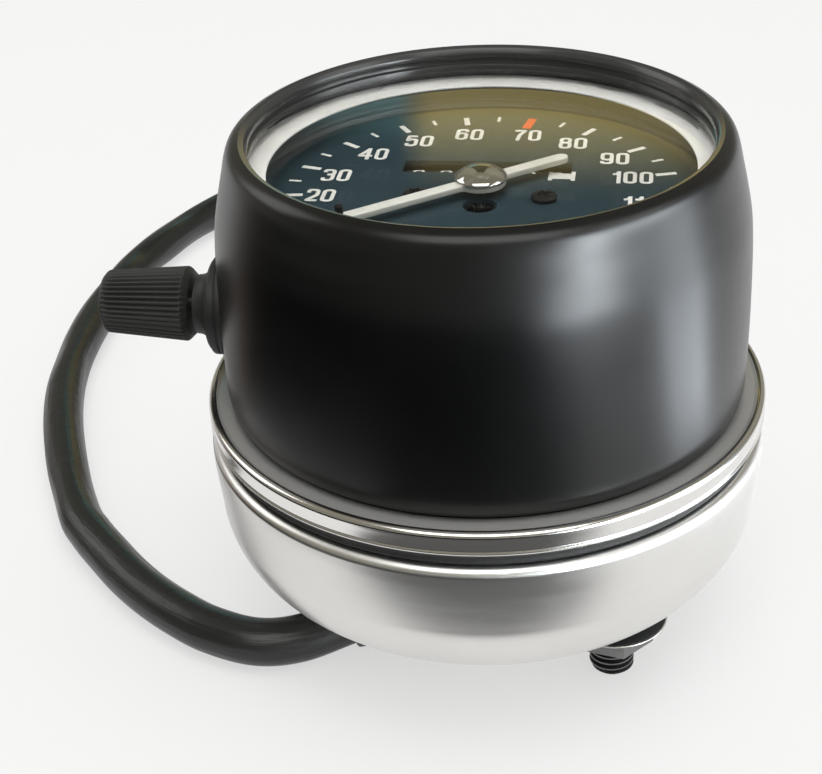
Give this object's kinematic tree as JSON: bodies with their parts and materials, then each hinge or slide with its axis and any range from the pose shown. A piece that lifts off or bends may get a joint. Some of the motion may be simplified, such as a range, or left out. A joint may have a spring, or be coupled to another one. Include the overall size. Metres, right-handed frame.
{
  "type": "motorcycle speedometer",
  "caption": "Round cable-driven speedometer with barrel shroud, polished trim ring, steel bowl on studs, trip reset knob and wiring harness.",
  "frame": {"origin": "on the dial's axis, in the plane of the studs' free ends", "axes": "+Z along the dial's axis, out through the glass; +Y towards the top of the dial; the reset knob points along -X"},
  "size_m": [0.1638, 0.275, 0.0949],
  "materials": {
    "brushed_bowl": "brushed stainless sheet",
    "polished_trim": "mirror-polished stainless",
    "black_shroud": "satin black stove enamel",
    "black_can": "matt black paint",
    "black_rubber": "moulded black rubber",
    "glass": "clear flat glass",
    "white_ring": "white plastic",
    "dial_face": "matt black with printed scale",
    "black_screw": "blackened steel",
    "plated_steel": "bright zinc plating",
    "brass": "turned brass",
    "spring_bronze": "phosphor bronze strip",
    "moulded_black": "moulded black plastic",
    "lamp_glass": "clear lamp glass",
    "white_pointer": "white paint",
    "chrome_cap": "bright chrome",
    "aluminium": "spun aluminium",
    "magnet_steel": "dark sintered magnet",
    "drum_black": "black drum with white figures",
    "gear_plastic": "natural acetal",
    "cord_black": "black PVC sleeving"
  },
  "bodies": {
    "case": {"lower_cup": "brushed_bowl", "trim_ring": "polished_trim", "seal_band": "black_rubber", "shroud_seal": "black_rubber", "shroud": "black_shroud", "inner_can": "black_can", "lens": "glass", "reflector_ring": "white_ring", "dial": "dial_face", "dial_screws": "black_screw", "dial_posts": "brass", "stop_pin": "black_screw", "mounting_studs": "black_screw", "rubber_washers": "black_rubber", "mounting_nuts": "black_screw", "drive_nipple": "brass", "nipple_spacer": "plated_steel", "nipple_nut": "plated_steel", "frame_pillars": "brass", "bridge_plate": "brass", "bridge_screws": "plated_steel", "spindle_bush": "brass", "hairspring": "spring_bronze", "spring_post": "brass", "cross_brackets": "brass", "odometer_brackets": "brass", "odometer_axle": "plated_steel", "trip_brackets": "brass", "lamp_holders": "moulded_black", "lamp_bulbs": "lamp_glass", "reset_bush": "black_rubber", "cord_grommet": "black_rubber", "cord_sleeve": "cord_black", "cord_connector": "moulded_black"},
    "pointer": {"needle": "white_pointer", "hub_cap": "chrome_cap", "spindle": "plated_steel", "drag_cup": "aluminium", "spring_collet": "brass"},
    "drive": {"input_shaft": "plated_steel", "magnet": "magnet_steel", "flux_ring": "plated_steel"},
    "cross": {"cross_shaft": "plated_steel", "cross_wheel": "gear_plastic"},
    "riser": {"riser_shaft": "plated_steel", "riser_wheel": "gear_plastic"},
    "tenths": {"drum_tenths": "drum_black", "odometer_wheel": "gear_plastic"},
    "units": {"drum_units": "drum_black"},
    "tens": {"drum_tens": "drum_black"},
    "hundreds": {"drum_hundreds": "drum_black"},
    "thousands": {"drum_thousands": "drum_black"},
    "ten_thousands": {"drum_ten_thousands": "drum_black"},
    "trip": {"trip_shaft": "plated_steel", "trip_drums": "drum_black", "trip_gear": "gear_plastic"},
    "reset": {"reset_knob": "moulded_black", "reset_shaft": "plated_steel", "reset_pinion": "gear_plastic"}
  },
  "joints": [
    {"name": "pointer_turn", "type": "hinge", "parent": "case", "child": "pointer", "pos_m": [0, 0, 0], "axis": [0, 0, -1], "range_deg": [0, 245], "stiffness_Nm_per_rad": 0.00002, "springref_deg": -17.19},
    {"name": "drive_turn", "type": "hinge", "parent": "case", "child": "drive", "pos_m": [0, 0, 0], "axis": [0, 0, 1], "continuous": true},
    {"name": "cross_turn", "type": "hinge", "parent": "case", "child": "cross", "pos_m": [0.0091, 0, 0.0309], "axis": [0, 1, 0], "continuous": true},
    {"name": "riser_turn", "type": "hinge", "parent": "case", "child": "riser", "pos_m": [0.0186, 0.02015, 0], "axis": [0, 0, 1], "continuous": true},
    {"name": "tenths_turn", "type": "hinge", "parent": "case", "child": "tenths", "pos_m": [0, 0.01045, 0.0744], "axis": [1, 0, 0], "continuous": true},
    {"name": "units_turn", "type": "hinge", "parent": "case", "child": "units", "pos_m": [0, 0.01045, 0.0744], "axis": [1, 0, 0], "continuous": true},
    {"name": "tens_turn", "type": "hinge", "parent": "case", "child": "tens", "pos_m": [0, 0.01045, 0.0744], "axis": [1, 0, 0], "continuous": true},
    {"name": "hundreds_turn", "type": "hinge", "parent": "case", "child": "hundreds", "pos_m": [0, 0.01045, 0.0744], "axis": [1, 0, 0], "continuous": true},
    {"name": "thousands_turn", "type": "hinge", "parent": "case", "child": "thousands", "pos_m": [0, 0.01045, 0.0744], "axis": [1, 0, 0], "continuous": true},
    {"name": "ten_thousands_turn", "type": "hinge", "parent": "case", "child": "ten_thousands", "pos_m": [0, 0.01045, 0.0744], "axis": [1, 0, 0], "continuous": true},
    {"name": "reset_turn", "type": "hinge", "parent": "case", "child": "reset", "pos_m": [0, 0, 0.0595], "axis": [1, 0, 0], "continuous": true},
    {"name": "trip_turn", "type": "hinge", "parent": "case", "child": "trip", "pos_m": [0, -0.0148, 0.0744], "axis": [1, 0, 0], "continuous": true}
  ],
  "couplings": [
    {"joint": "cross_turn", "follows": "drive_turn", "ratio": 0.1},
    {"joint": "riser_turn", "follows": "drive_turn", "ratio": 0.01},
    {"joint": "tenths_turn", "follows": "drive_turn", "ratio": 0.001},
    {"joint": "units_turn", "follows": "drive_turn", "ratio": 0.0001},
    {"joint": "tens_turn", "follows": "drive_turn", "ratio": 0.00001},
    {"joint": "hundreds_turn", "follows": "drive_turn", "ratio": 0.000001},
    {"joint": "thousands_turn", "follows": "drive_turn", "ratio": 0.0000001},
    {"joint": "ten_thousands_turn", "follows": "drive_turn", "ratio": 0.00000001},
    {"joint": "trip_turn", "follows": "reset_turn", "ratio": -2.5}
  ]
}
